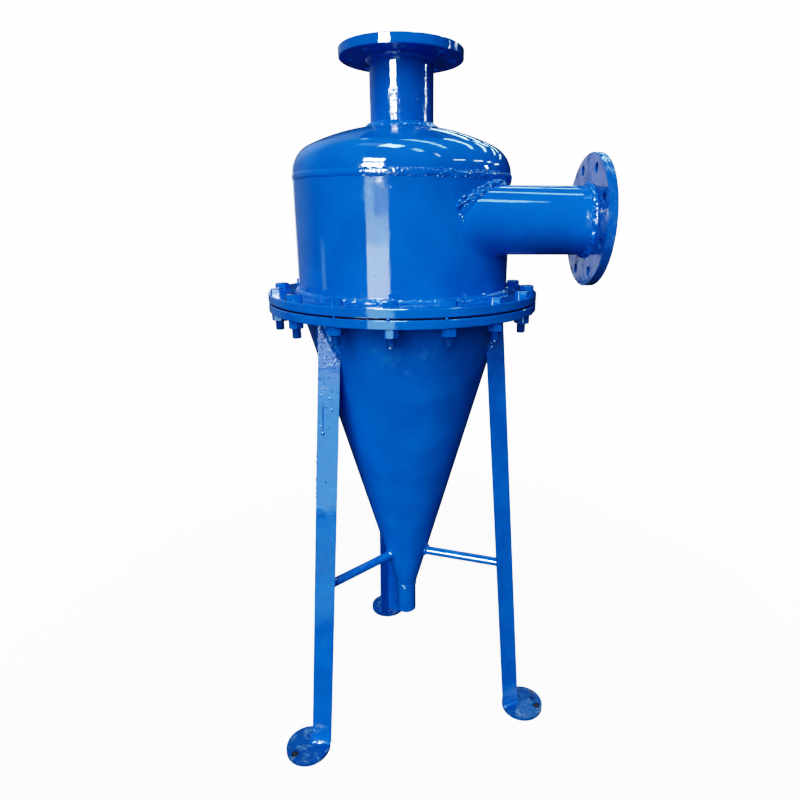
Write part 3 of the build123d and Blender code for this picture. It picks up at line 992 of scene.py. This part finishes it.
def threaded_end(low_z, high_z):
    """Threaded stub of a bolt on the Z axis, its end chamfered."""
    fastener = bpy.context.scene.hydrocyclone_fastener
    pitch = fastener.thread_pitch
    turns = ceil((high_z - low_z) / pitch) + 2
    stub = bmesh.new()
    start_z = low_z - pitch
    root_r = BOLT_R - fastener.thread_depth
    profile = [stub.verts.new((root_r, 0, start_z)),
               stub.verts.new((BOLT_R, 0, start_z + pitch / 2)),
               stub.verts.new((root_r, 0, start_z + pitch))]
    edges = [stub.edges.new(profile[:2]), stub.edges.new(profile[1:])]
    bmesh.ops.spin(stub, geom=profile + edges, cent=(0, 0, 0), axis=UP, dvec=UP * pitch / 20,
                   angle=tau * turns, steps=20 * turns, use_merge=False)
    bmesh.ops.remove_doubles(stub, verts=stub.verts, dist=mm(0.01))
    for z, side in ((low_z, -1), (high_z, 1)):
        bmesh.ops.bisect_plane(stub, geom=stub.verts[:] + stub.edges[:] + stub.faces[:],
                               dist=1e-7, plane_co=(0, 0, z), plane_no=(0, 0, side),
                               clear_outer=True)
    bmesh.ops.holes_fill(stub, edges=[e for e in stub.edges if e.is_boundary], sides=0)
    for vert in stub.verts:
        reach = hypot(vert.co.x, vert.co.y)
        limit = root_r - mm(0.5) + vert.co.z - low_z
        if reach > limit:
            vert.co.x *= limit / reach
            vert.co.y *= limit / reach
    bmesh.ops.recalc_face_normals(stub, faces=stub.faces)
    return stub


class HydrocycloneBolts(bpy.types.Operator):
    """Makes the sixteen bolts and nuts of the body flanges"""

    bl_idname = "hydrocyclone.bolts"
    bl_label = "Bolts and nuts"

    def execute(self, context):
        chance = random.Random(7)
        bolts = []
        nuts = []
        for number in range(BOLT_COUNT):
            angle = BOLT_PHASE + tau * number / BOLT_COUNT
            place = Matrix.Rotation(angle, 4, "Z") @ Matrix.Translation((BOLT_CIRCLE_R, 0, 0))
            slack = mm(chance.uniform(-0.25, 0.25))
            place @= Matrix.Translation((slack, mm(chance.uniform(-0.25, 0.25)), 0))
            head = hexagon_body(UPPER_BACK_Z, BOLT_HIGH_Z, (False, True), chance.uniform(0, 1.05))
            nut = hexagon_body(NUT_LOW_Z, LOWER_BACK_Z, (True, True), chance.uniform(0, 1.05))
            stub = threaded_end(BOLT_LOW_Z, NUT_LOW_Z + mm(1))
            # The threaded stubs take the second, darker enamel: painted shade under the nuts.
            for face in stub.faces:
                face.material_index = 1
            shank = bmesh.new()
            bmesh.ops.create_cone(shank, cap_ends=True, segments=20, radius1=BOLT_R,
                                  radius2=BOLT_R, depth=UPPER_BACK_Z - LOWER_BACK_Z + mm(2))
            middle = (UPPER_BACK_Z + LOWER_BACK_Z) / 2
            bmesh.ops.translate(shank, vec=(0, 0, middle), verts=shank.verts)
            bolt = join_meshes([head, shank, stub])
            bmesh.ops.transform(bolt, matrix=place, verts=bolt.verts)
            bmesh.ops.transform(nut, matrix=place, verts=nut.verts)
            bolts.append(bolt)
            nuts.append(nut)
        paint = fastener_enamel()
        for name, made, node in (("bolts", bolts, "body_bolts"), ("nuts", nuts, "body_nuts")):
            piece = add_piece(f"flange_{name}", join_meshes(made), paint,
                              [node])
            piece.data.materials.append(thread_shade_enamel())
            piece.data.set_sharp_from_angle(angle=radians(40))
        return {"FINISHED"}


# Lumps of paint and spatter: degrees from the front towards the right, height, length, width
# and proud height in mm, and degrees that the length leans from level
BARREL_LUMPS = (
    (26.4, 1108.6, 8, 6, 3.2, 20), (28.4, 1115.6, 8, 6, 3.4, 40), (32.9, 1116.7, 13, 8, 5.0, 50),
    (33.9, 1123.6, 8, 6, 3.6, 60), (37.8, 1124.0, 13, 8, 5.0, 30), (40.4, 1132.0, 9, 6, 4.0, 40),
    (28.9, 1097.8, 7, 5, 3.2, 80), (28.1, 1092.8, 8, 5, 3.6, 80), (26.3, 1087.0, 7, 5, 3.0, 90),
    (27.5, 1084.1, 7, 5, 3.4, 70), (28.2, 1078.4, 7, 5, 3.2, 90), (26.5, 1051.4, 3.2, 2.6, 1.5, 0),
    (26.2, 1018.5, 2.4, 2.0, 1.2, 0), (23.1, 999.9, 2.4, 2.2, 1.2, 0),
    (27.5, 988.5, 2.2, 2.0, 1.2, 0), (36.1, 1004.0, 2.2, 2.0, 1.1, 0),
    (36.0, 958.6, 2.4, 2.2, 1.2, 0), (-20.4, 961.1, 2.8, 2.2, 1.0, 0),
    (-21.4, 1042.6, 2.2, 2.0, 0.9, 0), (-19.5, 1104.2, 2.2, 2.0, 0.9, 0),
)
PIPE_LUMPS = ((22.4, 1279.3, 2.6, 2.2, 1.2, 0), (27.2, 1275.1, 3.0, 2.2, 1.3, 0),
              (32.3, 1272.5, 2.6, 2.0, 1.2, 0), (40.1, 1267.2, 2.4, 2.0, 1.1, 0))
SPIGOT_LUMPS = ((-5, 261.4, 2.6, 2.0, 1.2, 0), (-5, 231.6, 2.4, 2.0, 1.1, 0),
                (-5, 220.6, 2.4, 2.0, 1.1, 0), (-5, 209.6, 2.6, 2.0, 1.2, 0))
CONE_STROKES = ((-4.7, 844, 13, 1.6, 0.6, 52), (6.0, 857.8, 9, 1.5, 0.6, 58),
                (15.5, 857.9, 19, 1.6, 0.6, 66), (0.5, 818, 8, 1.5, 0.5, 2))
GAP_BRIDGES = ((-26.5, 931.5, 4.5, 5.5, 1.6, 0), (-6.4, 931.8, 5.5, 5.0, 1.6, 0),
               (14.3, 931.3, 5.0, 5.5, 1.6, 0))
# The front left leg's paint run, from and to, and the marks on its face: mm across and up, and
# for marks length, width and proud height
LEG_RUN = ((10.2, 759.9), (11.2, 698.7))
LEG_MARKS = ((11.3, 694.9, 9, 6, 1.5), (17.1, 415.8, 4, 3, 1.0))
# Where its heel is chipped and where its grainy top ends, mm up the leg
CHIPPED_FROM = 566
CHIPPED_TO = 659
GRAINY_TOP = 890


def oval_lump(point, normal, along, length, width, proud):
    """Smooth oval lump that sits on a surface."""
    sideways = normal.cross(along).normalized()
    forward = sideways.cross(normal)
    axes = Matrix((forward * length / 2, sideways * width / 2, normal * proud)).transposed()
    lump = bmesh.new()
    bmesh.ops.create_uvsphere(lump, u_segments=10, v_segments=6, radius=1.0,
                              matrix=Matrix.Translation(point) @ axes.to_4x4())
    return lump


def lumps_round(rows, radius_at, normal_at):
    """Oval lumps on a surface turned about the Z axis."""
    lumps = []
    for azimuth, z, length, width, proud, lean in rows:
        flat, level = from_front(azimuth)
        point = flat * radius_at(mm(z)) + UP * mm(z)
        normal = normal_at(point)
        tilt = radians(lean)
        along = level * cos(tilt) + normal.cross(level) * sin(tilt)
        lumps.append(oval_lump(point, normal, along, mm(length), mm(width), mm(proud)))
    return lumps


def bead_drops(chance):
    """Drops and cold laps left on the beads: point, normal, direction along the bead, size."""
    drops = []
    for number in range(SEAM_DROPS):
        flat, level = from_front(chance.uniform(-22, 205))
        edge = chance.choice((-1, 1, 1, chance.uniform(-1, 1)))
        lift = edge * mm(5.6) + mm(chance.gauss(0, 0.6))
        point = flat * (BARREL_R + mm(1.4) * (1 - edge * edge)) + UP * (SEAM_Z + lift)
        drops.append((point, (flat + UP * 0.5 * edge).normalized(), level, 1.4))
    for number in range(INLET_DROPS):
        turn = radians(chance.triangular(60, 162, 128))
        y = INLET_Y + (PIPE_R + mm(chance.uniform(0, 8))) * cos(turn)
        z = INLET_Z + (PIPE_R + mm(chance.uniform(0, 8))) * sin(turn)
        pipe = Vector((0, cos(turn), sin(turn)))
        on_shell = Vector((sqrt(BARREL_R ** 2 - y ** 2), y, z))
        wall = straight_out(on_shell)
        drops.append((on_shell + wall * mm(chance.uniform(1, 4)), (wall + pipe).normalized(),
                      wall.cross(pipe).normalized(), 1.9))
    for number in range(ROUND_DROPS):
        flat, level = spoke(chance.uniform(0, tau))
        share = chance.random()
        rows = [(BARREL_R, UPPER_BACK_Z, BODY_WELD, 1.0)]
        if number % 3 == 0:
            rows.append((PIPE_R, crown_height(PIPE_R), OUTLET_WELD, 0.8))
        for radius, z, weld, scale in rows:
            point = flat * (radius + weld * share) + UP * (z + weld * (1 - share))
            drops.append((point, (flat + UP).normalized(), level, scale))
    for azimuth in LEGS.values():
        along = leg_axes(azimuth)[1]
        for face, points in leg_points(azimuth):
            for number in range(LEG_DROPS):
                point = chance.choice(points)
                wall = cone_normal(point)
                shift = wall * mm(chance.uniform(0, 7)) + face * mm(chance.uniform(0, 6))
                drops.append((point + shift * 0.7, (wall + face).normalized(), along, 1.6))
    return drops


class HydrocycloneFlaws(bpy.types.Operator):
    """Adds the lumps, runs, strokes and chips that the photo shows in the paint"""

    bl_idname = "hydrocyclone.flaws"
    bl_label = "Paint flaws"

    def execute(self, context):
        rim_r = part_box("upper_body_flange")[1].y - mm(0.4)
        lumps = []
        for rows, radius_at, normal_at in (
                (BARREL_LUMPS, lambda z: BARREL_R, straight_out),
                (PIPE_LUMPS, lambda z: PIPE_R, straight_out),
                (SPIGOT_LUMPS, lambda z: UNDERFLOW_R, straight_out),
                (CONE_STROKES, cone_radius, cone_normal),
                (GAP_BRIDGES, lambda z: rim_r, straight_out)):
            lumps += lumps_round(rows, radius_at, normal_at)
        heel, along, first, second = leg_axes(LEGS["front_left"])
        start, end = (heel + first * mm(across) + along * mm(up) for across, up in LEG_RUN)
        lumps.append(oval_lump((start + end) / 2, -second, (end - start).normalized(),
                               (end - start).length, mm(2.6), mm(0.8)))
        for across, up, long, wide, proud in LEG_MARKS:
            lumps.append(oval_lump(heel + first * mm(across) + along * mm(up), -second, along,
                                   mm(long), mm(wide), mm(proud)))
        chance = random.Random(5)
        corner_out = (-first - second).normalized()
        for number in range(CHIPS):
            up = CHIPPED_FROM + (CHIPPED_TO - CHIPPED_FROM) * number / (CHIPS - 1)
            place = heel + along * mm(up + chance.uniform(-3, 3))
            lumps.append(oval_lump(place, corner_out, along, mm(chance.uniform(2, 6)), mm(2.2),
                                   mm(chance.uniform(0.4, 0.9))))
        for number in range(GRAINS):
            place = (heel + first * mm(chance.uniform(1, 39))
                     + along * mm(GRAINY_TOP - chance.expovariate(1 / 40)))
            if hypot(place.x, place.y) > cone_radius(place.z):
                wide = mm(chance.uniform(2.2, 4.5))
                lumps.append(oval_lump(place, -second, along, wide * chance.uniform(1, 1.6),
                                       wide, mm(chance.uniform(0.25, 0.7))))
        blisters = []
        for number in range(BLISTERS):
            right = number % 2
            azimuth = chance.gauss(46, 4) if right else chance.uniform(-24, -3)
            z = chance.uniform(1246, 1335 if right else 1296)
            size = chance.uniform(1.6, 3.2)
            blisters.append((azimuth, z, size * 1.4, size, 0.3 * size, chance.uniform(0, 180)))
        lumps += lumps_round(blisters, lambda z: PIPE_R, straight_out)
        for point, normal, way, scale in bead_drops(chance):
            long = mm(chance.uniform(1.8, 5.0)) * scale
            lumps.append(oval_lump(point, normal, way, long,
                                   mm(chance.uniform(1.4, 2.4)) * scale,
                                   mm(chance.uniform(0.6, 1.2)) * scale))
        add_piece("paint_lumps", join_meshes(lumps), drop_enamel())

        # Dark plugs in the anchor holes: painted shade, with some brown dirt.
        plugs = []
        for azimuth in LEGS.values():
            centre = spoke(radians(azimuth))[0] * ANCHOR_SHIFT + UP * mm(4)
            plug = bmesh.new()
            bmesh.ops.create_cone(plug, cap_ends=True, segments=32, radius1=0.98 * ANCHOR_R,
                                  radius2=0.98 * ANCHOR_R, depth=mm(5),
                                  matrix=Matrix.Translation(centre))
            plugs.append(plug)
        add_piece("anchor_hole_shade_and_dirt", join_meshes(plugs), hole_shade_and_dirt())
        return {"FINISHED"}


class HydrocycloneSpatter(bpy.types.Operator):
    """Scatters weld spatter, painted over, beside the welds"""

    bl_idname = "hydrocyclone.spatter"
    bl_label = "Weld spatter"

    def execute(self, context):
        chance = random.Random(11)
        count = context.scene.hydrocyclone_weld.specks
        specks = []
        for number in range(count):
            place = number % 3
            size = mm(chance.uniform(0.5, 1.0) ** 2 * 1.5)
            if place == 0:
                turn = chance.uniform(0, tau)
                reach = PIPE_R + INLET_WELD + mm(chance.expovariate(1 / 14))
                y = INLET_Y + reach * cos(turn)
                z = INLET_Z + reach * sin(turn)
                if abs(y) > BARREL_R * 0.98 or not UPPER_BACK_Z + mm(12) < z < SEAM_Z - mm(9):
                    continue
                point = Vector((sqrt(BARREL_R ** 2 - y ** 2), y, z))
                normal = straight_out(point)
            elif place == 1:
                normal = spoke(chance.uniform(0, tau))[0]
                z = UPPER_BACK_Z + BODY_WELD + mm(chance.expovariate(1 / 12))
                point = normal * BARREL_R + UP * z
                if hypot(point.y - INLET_Y, z - INLET_Z) < PIPE_R + mm(10) and point.x > 0:
                    continue
            else:
                azimuth = radians(chance.choice(list(LEGS.values())))
                flat = spoke(azimuth + chance.uniform(-0.3, 0.3))[0]
                z = LEG_TOP_Z - mm(chance.expovariate(1 / 45))
                point = flat * cone_radius(z) + UP * z
                normal = cone_normal(point)
            turn = normal.to_track_quat("Z", "Y").to_matrix().to_4x4()
            flatten = Matrix.Diagonal((1, chance.uniform(0.8, 1.3), 0.55, 1))
            speck = bmesh.new()
            bmesh.ops.create_uvsphere(speck, u_segments=8, v_segments=5, radius=size,
                                      matrix=Matrix.Translation(point) @ turn @ flatten)
            specks.append(speck)
        add_piece("weld_spatter", join_meshes(specks), drop_enamel())
        return {"FINISHED"}


def area_light(name, matrix, width, height, radiance, hex_colour, gloss):
    """Soft box of a given brightness that only shows in the gloss, or only fills the colours."""
    data = bpy.data.lights.new(name, "AREA")
    data.shape = "RECTANGLE"
    data.size = width
    data.size_y = height
    data.energy = radiance * pi * width * height
    data.color = linear(hex_colour)[:3]
    light = bpy.data.objects.new(name, data)
    light.matrix_world = matrix
    light.visible_camera = False
    light.visible_glossy = gloss
    light.visible_diffuse = not gloss
    bpy.context.scene.collection.objects.link(light)


def direction(azimuth, elevation):
    """Direction at degrees from the front towards the right, and degrees up."""
    lift = radians(elevation)
    return from_front(azimuth)[0] * cos(lift) + UP * sin(lift)


def soft_box(name, row, strength, gloss):
    """Area light seen from the object in a direction and under two angles, in degrees."""
    azimuth, elevation, wide, high, radiance, hex_colour = row
    away = direction(azimuth, elevation)
    facing = away.to_track_quat("Z", "Y").to_matrix().to_4x4()
    width = 2 * BOX_DISTANCE * tan(radians(wide / 2)) * cos(radians(elevation))
    height = 2 * BOX_DISTANCE * tan(radians(high / 2))
    place = Matrix.Translation(away * BOX_DISTANCE + UP * AIM_Z)
    area_light(name, place @ facing, width, height, radiance * strength, hex_colour, gloss)


def floor_paint(colour):
    """Plain pale floor that fades out towards its edge."""
    make = Nodes(bpy.data.materials.new("plain_floor"))
    reach = make.add("VectorMath", {0: make.place}, 1, operation="LENGTH")
    fade = make.step(reach, 0.7, 1.9, 0.88, 1.0, interpolation_type="SMOOTHSTEP")
    pale = make.add("BsdfDiffuse", {"Color": (*colour, 1)})
    clear = make.add("BsdfTransparent")
    return make.surface(make.add("MixShader", {0: fade, 1: pale, 2: clear}))


def studio_world():
    """White for the camera, and for the gloss a dim sky with soft round patches."""
    make = Nodes(bpy.data.worlds.new("studio"), "Generated")
    soft = make.add("Background", {"Color": linear("#6FB4FF"), "Strength": 0.05})
    for azimuth, elevation, inner, outer, tint, strength in SKY_PATCHES:
        near = make.add("VectorMath", {0: make.place, 1: direction(azimuth, elevation)}, 1,
                        operation="DOT_PRODUCT")
        share = make.step(near, cos(radians(outer)), cos(radians(inner)),
                          0.0, strength, interpolation_type="SMOOTHSTEP")
        patch = make.add("Background", {"Color": linear(tint), "Strength": share})
        soft = make.add("AddShader", {0: soft, 1: patch})
    plain = make.add("Background", {"Color": linear("#FFFFFF"), "Strength": 1.95})
    seen = make.add("LightPath", output="Is Camera Ray")
    make.add("OutputWorld", {"Surface": make.add("MixShader", {0: seen, 1: soft, 2: plain})})
    make.owner.cycles_visibility.diffuse = False
    return make.owner


def photo_camera():
    """Camera that stands and looks as the photo's did."""
    data = bpy.data.cameras.new("camera")
    data.sensor_width = 36.0
    data.lens = CAMERA_LENS
    data.shift_x, data.shift_y = CAMERA_SHIFT
    data.clip_start = 0.01
    camera = bpy.data.objects.new("camera", data)
    yaw, pitch, roll = (radians(a) for a in CAMERA_TURN)
    camera.matrix_world = (Matrix.Translation(CAMERA_PLACE) @ Matrix.Rotation(-yaw, 4, "Z")
                           @ Matrix.Rotation(pi / 2 + pitch, 4, "X")
                           @ Matrix.Rotation(roll, 4, "Z"))
    bpy.context.scene.collection.objects.link(camera)
    return camera


class HydrocycloneStage(bpy.types.Operator):
    """Sets up the floor, the lights and the camera"""

    bl_idname = "hydrocyclone.stage"
    bl_label = "Floor, light and camera"

    def execute(self, context):
        scene = context.scene
        settings = scene.hydrocyclone_stage
        floor_mesh = bmesh.new()
        bmesh.ops.create_circle(floor_mesh, cap_ends=True, segments=64, radius=FLOOR_R)
        data = bpy.data.meshes.new("floor")
        floor_mesh.to_mesh(data)
        floor_mesh.free()
        data.materials.append(floor_paint(settings.floor))
        floor = bpy.data.objects.new("floor", data)
        scene.collection.objects.link(floor)
        floor.visible_diffuse = False
        floor.visible_glossy = False
        floor.visible_shadow = False

        scene.world = studio_world()
        for name, row in GLOSS_LIGHTS.items():
            soft_box(name, row, settings.key, True)
        for name, row in FILL_LIGHTS.items():
            soft_box(name, (*row, "#FFFFFF"), settings.fill, False)
        slant = Matrix.Rotation(ROOF_SLANT, 4, "Z")
        for number, (across, width, start, end, bright) in enumerate(ROOF_LIGHTS):
            place = slant @ Matrix.Translation(((start + end) / 2, across, ROOF_Z))
            area_light(f"roof_{number}", place, end - start, width, bright * settings.key,
                       ROOF_COLOUR, True)

        scene.camera = photo_camera()
        scene.view_settings.view_transform = "Standard"
        scene.view_settings.use_curve_mapping = True
        mapping = scene.view_settings.curve_mapping
        mapping.clip_max_x = 2.0
        mapping.clip_max_y = 1.0
        tone = mapping.curves[3]
        tone.points[0].location = (0.0, 0.0)
        tone.points[1].location = (2.0, 1.0)
        for place in TONE:
            tone.points.new(*place)
        mapping.update()
        return {"FINISHED"}


class HydrocyclonePanel(bpy.types.Panel):
    """Lists the steps that dress the hydrocyclone"""

    bl_idname = "HYDROCYCLONE_PT_steps"
    bl_label = "Hydrocyclone"
    bl_space_type = "VIEW_3D"
    bl_region_type = "UI"
    bl_category = "Hydrocyclone"

    def draw(self, context):
        for operator in OPERATORS:
            self.layout.operator(operator.bl_idname)


SETTINGS = {
    "hydrocyclone_enamel": EnamelSettings,
    "hydrocyclone_weld": WeldSettings,
    "hydrocyclone_fastener": FastenerSettings,
    "hydrocyclone_stage": StageSettings,
}
OPERATORS = (
    HydrocyclonePaint,
    HydrocycloneRingWelds,
    HydrocycloneInletWeld,
    HydrocycloneLegWelds,
    HydrocycloneFootWelds,
    HydrocycloneBraceWelds,
    HydrocycloneBolts,
    HydrocycloneSpatter,
    HydrocycloneFlaws,
    HydrocycloneStage,
)


def register():
    """Registers the settings, the steps and the panel."""
    for name, group in SETTINGS.items():
        bpy.utils.register_class(group)
        setattr(bpy.types.Scene, name, PointerProperty(type=group))
    for operator in OPERATORS:
        bpy.utils.register_class(operator)
    bpy.utils.register_class(HydrocyclonePanel)


def unregister():
    """Takes the panel, the steps and the settings out again."""
    bpy.utils.unregister_class(HydrocyclonePanel)
    for operator in reversed(OPERATORS):
        bpy.utils.unregister_class(operator)
    for name, group in reversed(SETTINGS.items()):
        delattr(bpy.types.Scene, name)
        bpy.utils.unregister_class(group)


def main():
    """Runs every step in order."""
    register()
    bpy.ops.hydrocyclone.paint()
    bpy.ops.hydrocyclone.ring_welds()
    bpy.ops.hydrocyclone.inlet_weld()
    bpy.ops.hydrocyclone.leg_welds()
    bpy.ops.hydrocyclone.foot_welds()
    bpy.ops.hydrocyclone.brace_welds()
    bpy.ops.hydrocyclone.bolts()
    bpy.ops.hydrocyclone.spatter()
    bpy.ops.hydrocyclone.flaws()
    bpy.ops.hydrocyclone.stage()


if __name__ == "__main__":
    main()
